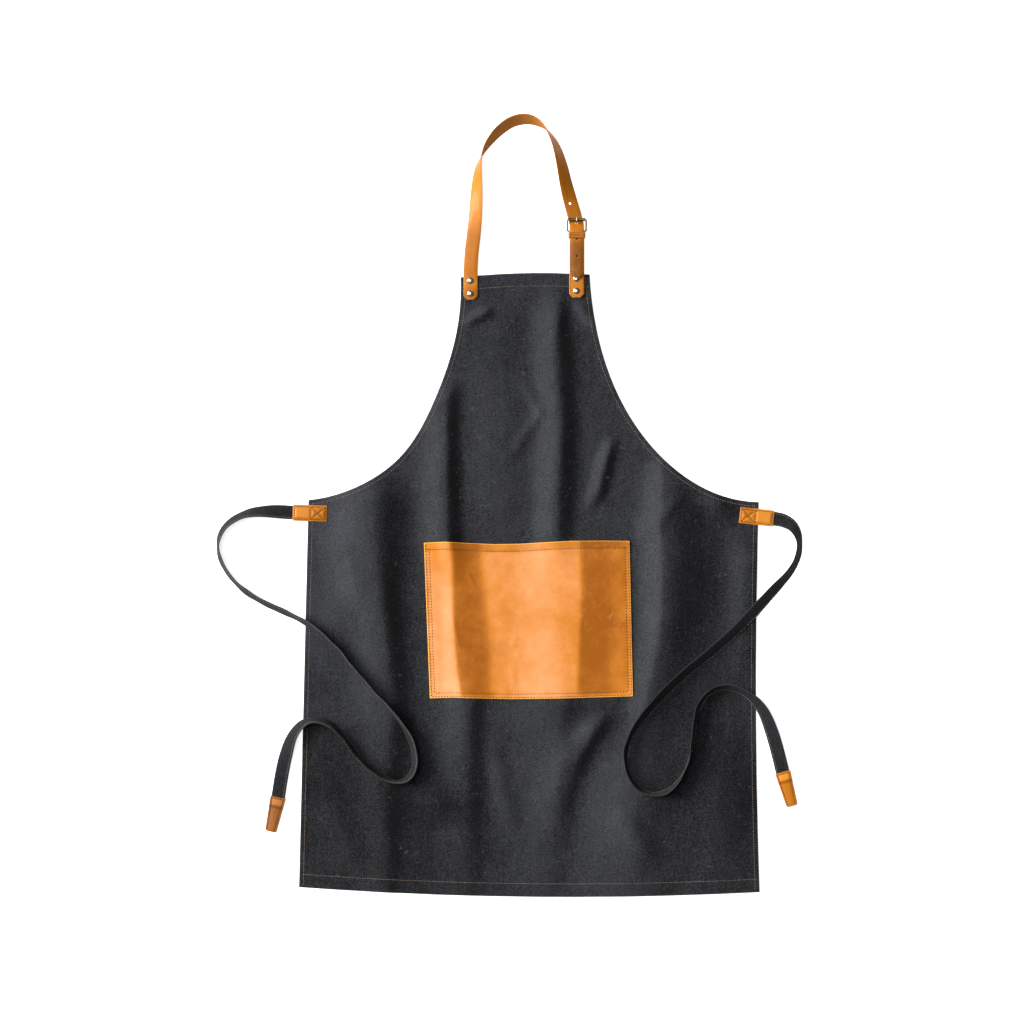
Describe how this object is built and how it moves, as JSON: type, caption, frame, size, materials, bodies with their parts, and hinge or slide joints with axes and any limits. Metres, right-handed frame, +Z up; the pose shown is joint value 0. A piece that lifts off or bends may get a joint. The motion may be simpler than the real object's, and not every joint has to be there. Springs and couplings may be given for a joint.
{
  "type": "butcher apron",
  "caption": "Canvas bib apron laid flat, with a leather patch pocket, a riveted leather neck strap with a roller buckle and keeper, and waist ties with leather tips.",
  "frame": {"origin": "middle of the apron's plan without its ties, on the surface it lies on", "axes": "+X across the apron to the buckle's side, +Y from the bottom hem to the neck strap, +Z up out of its face"},
  "size_m": [0.8485, 1.1348, 0.0209],
  "materials": {
    "canvas": "washed charcoal canvas, matt",
    "leather": "cognac, smooth, waxed",
    "buckle_metal": "dark antique brass",
    "rivet_metal": "polished, pale antique brass",
    "thread": "waxed thread"
  },
  "bodies": {
    "apron": {"apron_cloth": "canvas", "left_tie_tape": "canvas", "right_tie_tape": "canvas", "pocket_panel": "leather", "neck_strap": "leather", "buckle_strap": "leather", "left_tab_front": "leather", "left_tab_back": "leather", "right_tab_front": "leather", "right_tab_back": "leather", "left_tie_tip": "leather", "right_tie_tip": "leather", "neck_strap_rivet_caps": "rivet_metal", "neck_strap_rivet_backs": "rivet_metal", "buckle_strap_rivet_caps": "rivet_metal", "buckle_strap_rivet_backs": "rivet_metal"},
    "buckle_frame": {"buckle_frame": "buckle_metal"},
    "buckle_roller": {"buckle_roller": "buckle_metal"},
    "buckle_prong": {"buckle_prong": "buckle_metal"},
    "strap_keeper": {"strap_keeper": "leather"}
  },
  "joints": [
    {"name": "buckle_swing", "type": "hinge", "parent": "apron", "child": "buckle_frame", "pos_m": [0.0626, 0.3975, 0.0051], "axis": [1, 0, 0], "range_deg": [-0.5, 3]},
    {"name": "roller_spin", "type": "hinge", "parent": "buckle_frame", "child": "buckle_roller", "pos_m": [0.0626, 0.4141, 0.0089], "axis": [1, 0, 0], "continuous": true},
    {"name": "prong_lift", "type": "hinge", "parent": "buckle_frame", "child": "buckle_prong", "pos_m": [0.0626, 0.3975, 0.0051], "axis": [1, 0, 0], "range_deg": [0, 3]},
    {"name": "keeper_slide", "type": "slide", "parent": "apron", "child": "strap_keeper", "axis": [0, -1, 0], "range_m": [0, 0.048]}
  ]
}
